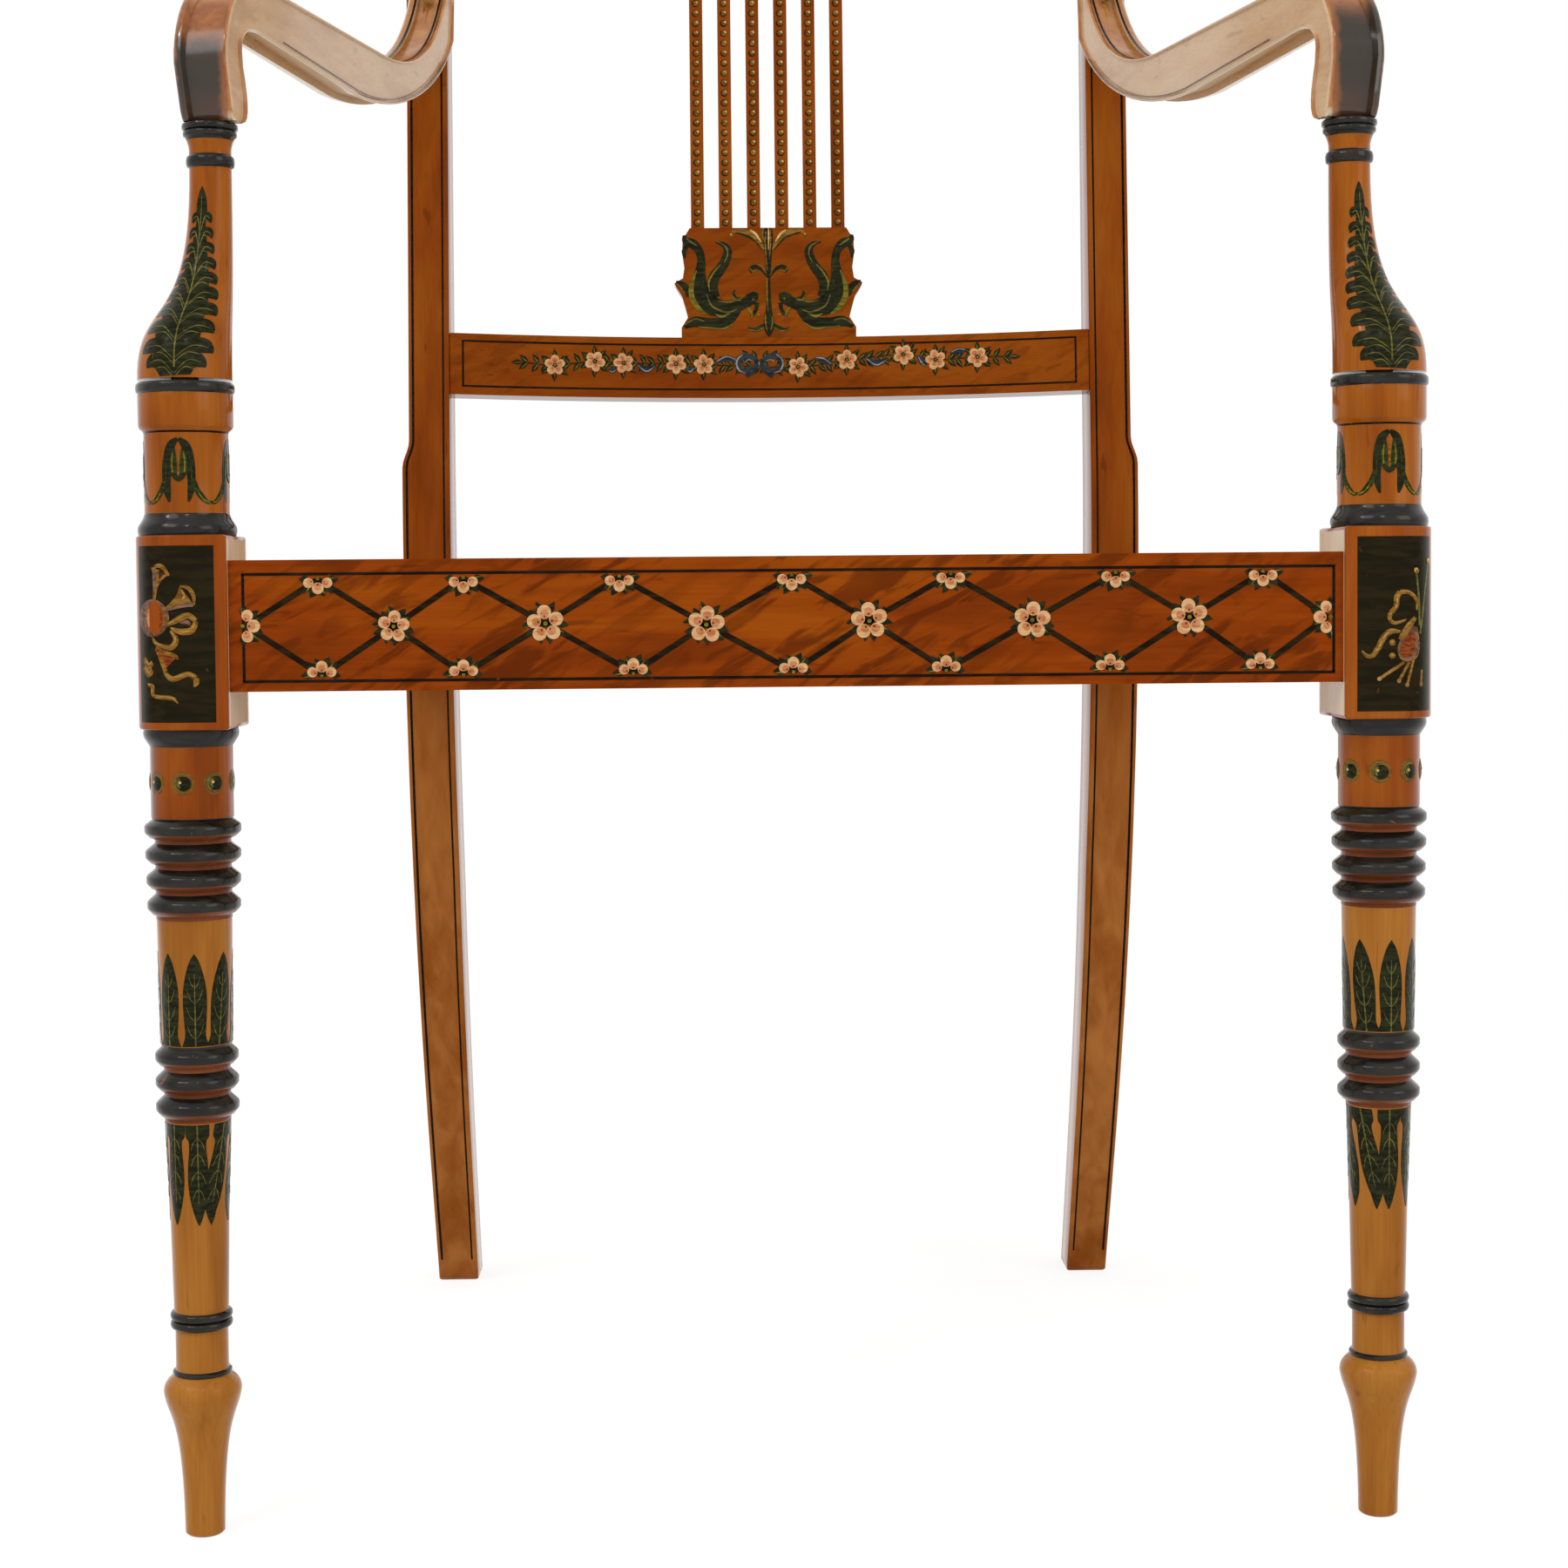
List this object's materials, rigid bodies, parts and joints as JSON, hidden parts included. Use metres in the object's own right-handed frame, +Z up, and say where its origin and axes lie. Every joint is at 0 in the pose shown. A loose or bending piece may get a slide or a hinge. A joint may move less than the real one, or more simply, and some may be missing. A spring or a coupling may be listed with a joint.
{
  "type": "open armchair",
  "caption": "Painted wooden open armchair with a lyre back of slim strings, scrolled arms, turned front legs, sabre back legs and a caned seat.",
  "frame": {"origin": "on the floor, at the middle of the chair's width and depth", "axes": "+Z up, the front of the chair faces -Y, and +X is to the right as seen from the front"},
  "size_m": [0.5814, 0.502, 0.899],
  "materials": {
    "leg_satinwood": "gloss",
    "rail_satinwood": "gloss",
    "cane": "satin",
    "beech": "matte",
    "steel": "satin"
  },
  "bodies": {
    "root": {"front_leg_right": "leg_satinwood", "front_leg_left": "leg_satinwood", "arm_support_right": "leg_satinwood", "arm_support_left": "leg_satinwood", "arm_right": "leg_satinwood", "arm_left": "leg_satinwood", "back_leg_right": "rail_satinwood", "back_leg_left": "rail_satinwood", "front_rail": "rail_satinwood", "back_rail": "rail_satinwood", "side_rail_right": "rail_satinwood", "side_rail_left": "rail_satinwood", "cross_rail": "rail_satinwood", "crest_rail": "rail_satinwood", "lyre_plinth": "rail_satinwood", "lyre_plate": "rail_satinwood", "lyre_string_1": "rail_satinwood", "lyre_string_2": "rail_satinwood", "lyre_string_3": "rail_satinwood", "lyre_string_4": "rail_satinwood", "lyre_string_5": "rail_satinwood", "lyre_string_6": "rail_satinwood", "arm_plug_right": "rail_satinwood", "arm_plug_left": "rail_satinwood", "cane_seat": "cane", "corner_brace_front_right": "beech", "corner_brace_front_left": "beech", "corner_brace_back_right": "beech", "corner_brace_back_left": "beech", "support_dowel_right": "beech", "support_dowel_left": "beech", "brace_screw_front_right_a": "steel", "brace_screw_front_right_b": "steel", "brace_screw_front_left_a": "steel", "brace_screw_front_left_b": "steel", "brace_screw_back_right_a": "steel", "brace_screw_back_right_b": "steel", "brace_screw_back_left_a": "steel", "brace_screw_back_left_b": "steel", "arm_screw_right": "steel", "arm_screw_left": "steel"}
  },
  "joints": []
}
